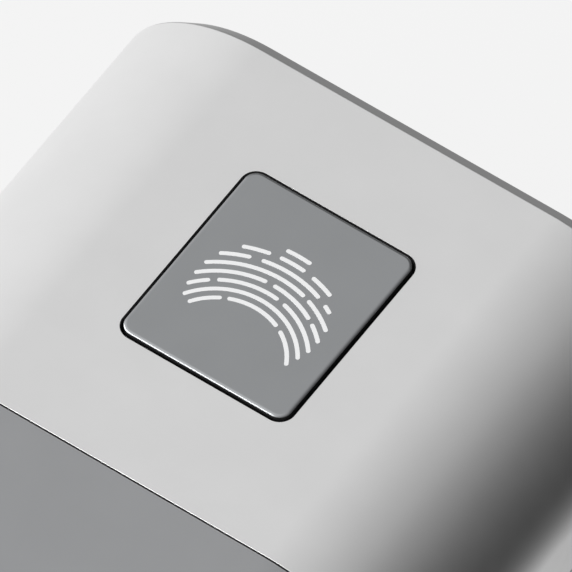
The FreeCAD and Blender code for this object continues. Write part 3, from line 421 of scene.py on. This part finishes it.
def drawn_steel(name, color, roughness, size, stretch):
    """Bright steel with fine lines along one axis."""
    material, tree, shader = new_material(name, color, roughness, 1.0)
    lines = noise(tree, size, 4.0, stretch)
    vary_color(tree, shader, lines, tint(color, 0.9), tint(color, 1.04))
    vary_roughness(tree, shader, lines, roughness - 0.07, roughness + 0.09)
    add_bump(tree, shader, lines, 0.004 * MM)
    return material


def spring_steel():
    return drawn_steel("spring_steel", (0.60, 0.60, 0.60), 0.3, 0.1 * MM, (1, 1, 3))


def screw_steel():
    return drawn_steel("screw_steel", (0.56, 0.56, 0.57), 0.34, 0.2 * MM, (1, 1, 0.3))


def plate_steel():
    """Zinc-plated sheet, lightly brushed along its length."""
    return drawn_steel("plate_steel", (0.62, 0.63, 0.64), 0.36, 0.3 * MM, (1, 0.03, 1))


def shield_tin():
    return drawn_steel("shield_tin", (0.68, 0.68, 0.66), 0.34, 0.8 * MM, (1, 0.2, 1))


def cell_steel():
    return drawn_steel("cell_steel", (0.70, 0.70, 0.70), 0.2, 0.3 * MM, (0.2, 1, 1))


def brass_insert():
    return drawn_steel("brass_insert", (0.72, 0.52, 0.22), 0.32, 0.2 * MM, (1, 1, 0.3))


def copper_track():
    return drawn_steel("copper_track", (0.74, 0.38, 0.22), 0.35, 0.2 * MM, (1, 1, 1))


def light_diffuser():
    """Frosted acrylic over the status lights."""
    color = (0.80, 0.81, 0.82)
    material, tree, shader = new_material("light_diffuser", color, 0.5)
    shader.inputs["Subsurface Weight"].default_value = 0.3
    shader.inputs["Subsurface Radius"].default_value = (MM, MM, MM)
    vary_color(tree, shader, noise(tree, 1.5 * MM), tint(color, 0.96), color)
    add_bump(tree, shader, noise(tree, 0.1 * MM), 0.004 * MM)
    return material


def flex_amber():
    color = (0.46, 0.20, 0.03)
    material, tree, shader = new_material("flex_amber", color, 0.25)
    lanes = tree.nodes.new("ShaderNodeTexWave")
    lanes.bands_direction = "X"
    lanes.inputs["Scale"].default_value = 1 / (3 * MM)
    tree.links.new(object_space(tree), lanes.inputs["Vector"])
    vary_color(tree, shader, lanes.outputs["Fac"], tint(color, 0.6), color)
    add_bump(tree, shader, lanes.outputs["Fac"], 0.01 * MM)
    return material


def sound_cloth():
    """Woven dust cloth behind the sound slots."""
    color = (0.012, 0.012, 0.012)
    material, tree, shader = new_material("sound_cloth", color, 0.8)
    for direction in ("X", "Y"):
        threads = tree.nodes.new("ShaderNodeTexWave")
        threads.bands_direction = direction
        threads.inputs["Scale"].default_value = 1 / (1.2 * MM)
        tree.links.new(object_space(tree), threads.inputs["Vector"])
        add_bump(tree, shader, threads.outputs["Fac"], 0.03 * MM)
    vary_color(tree, shader, noise(tree, 0.3 * MM), tint(color, 0.7), tint(color, 2))
    return material


def relay_blue():
    color = (0.02, 0.075, 0.26)
    material, tree, shader = new_material("relay_blue", color, 0.25)
    vary_color(tree, shader, noise(tree, 5 * MM), tint(color, 0.9), tint(color, 1.1))
    vary_roughness(tree, shader, noise(tree, 0.9 * MM), 0.2, 0.32)
    add_bump(tree, shader, noise(tree, 0.5 * MM), 0.003 * MM)
    return material


MATERIALS = [
    silver_shell, grey_shell, frame_metal, dark_casing, black_rubber, pad_grey, white_ink,
    sensor_glass, circuit_green, spring_steel, screw_steel, brass_insert, plate_steel, shield_tin,
    black_moulding, cell_steel, terminal_green, copper_track, light_diffuser, flex_amber,
    sound_cloth, relay_blue,
]


def paint_nodes():
    """Give every CAD node the material of its slot."""
    for part in frame["record"]["subparts"]:
        slots = nodes[part["node"]].material_slots
        for slot in slots:
            slot.material = finishes[part["material_slot"]]


# ---------------------------------------------------------------- softened pieces

# Pieces whose edges show, with the radius in mm that their sharp edges are eased by.
EASED = {
    "upper_cover": 0.15,
    "lower_cover": 0.15,
    "mid_frame": 0.08,
    "rear_housing": 0.25,
    "wall_plate": 0.15,
    "plate_studs": 0.15,
    "cable_grommet": 0.3,
    "pad_carrier": 0.1,
    "light_guide": 0.08,
    "casing_screws": 0.12,
}
EASE_SEGMENTS = 4

# Crisper edges, in mm: those round the pad's opening, and those at the seam between the covers.
OPENING_RADIUS = 0.03
OPENING_MARGIN = 1.0
SEAM_RADIUS = 0.06
SEAM_MARGIN = 0.3

# The pad's corners and the arc that its top rolls off by, in mm.
PAD_CORNER = 1.475
PAD_ROLL = 0.46
PAD_ROLL_ANGLE = math.radians(54)
CORNER_STEPS = 16
CROWN_STEPS = 10

SAME_PLACE = 0.001 * MM
SAME_PLANE = math.radians(0.4)
EDGE_ANGLE = math.radians(24)


def finish_piece(piece, node):
    """Give a piece the material and slot of the CAD node that it stands for."""
    for part in frame["record"]["subparts"]:
        if part["node"] == node:
            piece.data.materials.clear()
            piece.data.materials.append(finishes[part["material_slot"]])
    return piece


def join_facets(mesh):
    """Merge the doubled corners and join the flat facets of each face."""
    work = bmesh.new()
    work.from_mesh(mesh)
    bmesh.ops.remove_doubles(work, verts=work.verts, dist=SAME_PLACE)
    bmesh.ops.dissolve_limit(work, angle_limit=SAME_PLANE, verts=work.verts, edges=work.edges)
    for face in work.faces:
        face.smooth = True
    work.to_mesh(mesh)
    work.free()


def radius_at(place, radius, opening, seam):
    """The radius for an edge: the pad's opening and the seam have crisper edges than the rest."""
    low, high = opening
    if low.x < place.x < high.x and low.y < place.y < high.y and place.z > low.z:
        return min(radius, OPENING_RADIUS)
    if abs(place.y - seam) < SEAM_MARGIN * MM:
        return min(radius, SEAM_RADIUS)
    return radius


def weigh_edges(mesh, radius):
    """Give each sharp edge a bevel weight, its radius as a share of the piece's own."""
    margin = Vector((OPENING_MARGIN, OPENING_MARGIN, OPENING_MARGIN)) * MM
    low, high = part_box("scan_pad")
    opening = (low - margin, high + margin)
    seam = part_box("upper_cover")[0].y
    work = bmesh.new()
    work.from_mesh(mesh)
    weights = work.edges.layers.float.new("bevel_weight_edge")
    for edge in work.edges:
        if edge.is_manifold and edge.calc_face_angle(0) > EDGE_ANGLE:
            middle = (edge.verts[0].co + edge.verts[1].co) / 2
            edge[weights] = radius_at(middle, radius, opening, seam) / radius
    work.to_mesh(mesh)
    work.free()


def ease_edges(node, radius):
    """A piece that stands for a CAD node, the same shape with its sharp edges rounded."""
    source = nodes[node]
    mesh = source.data.copy()
    mesh.name = node + "_eased"
    piece = bpy.data.objects.new(node + "_eased", mesh)
    bpy.context.scene.collection.objects.link(piece)
    join_facets(mesh)
    weigh_edges(mesh, radius)
    bevel = piece.modifiers.new("eased", "BEVEL")
    bevel.limit_method = "WEIGHT"
    bevel.width = radius * MM
    bevel.segments = EASE_SEGMENTS
    bevel.miter_outer = "MITER_ARC"
    bevel.use_clamp_overlap = False
    shade = piece.modifiers.new("shade", "WEIGHTED_NORMAL")
    shade.weight = 100
    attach(piece, source["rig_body"])
    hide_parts(node)
    return finish_piece(piece, node)


def rounded_outline(centre_y, half_width, half_length, corner):
    """Points of a rounded rectangle centred on x = 0, one more than CORNER_STEPS to a corner."""
    points = []
    for turn, (side_x, side_y) in enumerate([(1, -1), (1, 1), (-1, 1), (-1, -1)]):
        middle_x = side_x * (half_width - corner)
        middle_y = centre_y + side_y * (half_length - corner)
        for step in range(CORNER_STEPS + 1):
            angle = math.radians(-90 + 90 * (turn + step / CORNER_STEPS))
            points.append((middle_x + corner * math.cos(angle), middle_y + corner * math.sin(angle)))
    return points


def stack_rings(name, rings):
    """A closed piece skinned over rings of points, with a flat cap at each end."""
    work = bmesh.new()
    loops = [[work.verts.new(point) for point in ring] for ring in rings]
    for lower, upper in zip(loops, loops[1:]):
        for index in range(len(lower)):
            after = (index + 1) % len(lower)
            work.faces.new((lower[index], lower[after], upper[after], upper[index]))
    work.faces.new(list(reversed(loops[0])))
    work.faces.new(loops[-1])
    bmesh.ops.recalc_face_normals(work, faces=work.faces)
    for face in work.faces:
        face.smooth = True
    mesh = bpy.data.meshes.new(name)
    work.to_mesh(mesh)
    work.free()
    piece = bpy.data.objects.new(name, mesh)
    bpy.context.scene.collection.objects.link(piece)
    return piece


def make_pad():
    """The sensor's coated window, flat on top, whose edge rolls off to a crisp rim."""
    low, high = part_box("scan_pad")
    middle = (low.y + high.y) / 2

    def ring(inset, level):
        outline = rounded_outline(middle, high.x - inset, high.y - middle - inset,
                                  PAD_CORNER * MM - inset)
        return [(x, y, level) for x, y in outline]

    rings = [ring(0, low.z)]
    for step in range(CROWN_STEPS + 1):
        angle = PAD_ROLL_ANGLE * (1 - step / CROWN_STEPS)
        inset = PAD_ROLL * (math.sin(PAD_ROLL_ANGLE) - math.sin(angle))
        drop = PAD_ROLL * (1 - math.cos(angle))
        rings.append(ring(inset * MM, high.z - drop * MM))
    pad = stack_rings("sensor_pad", rings)
    shade = pad.modifiers.new("shade", "WEIGHTED_NORMAL")
    shade.weight = 100
    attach(pad, "pad")
    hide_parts("scan_pad")
    return finish_piece(pad, "scan_pad")


def ease_pieces():
    for node, radius in EASED.items():
        ease_edges(node, radius)


finishes = {make.__name__: make() for make in MATERIALS}
make_camera()
make_studio()
make_floor()
make_strip_light()
paint_nodes()
ease_pieces()
make_pad()
bpy.context.scene.view_settings.view_transform = "Standard"
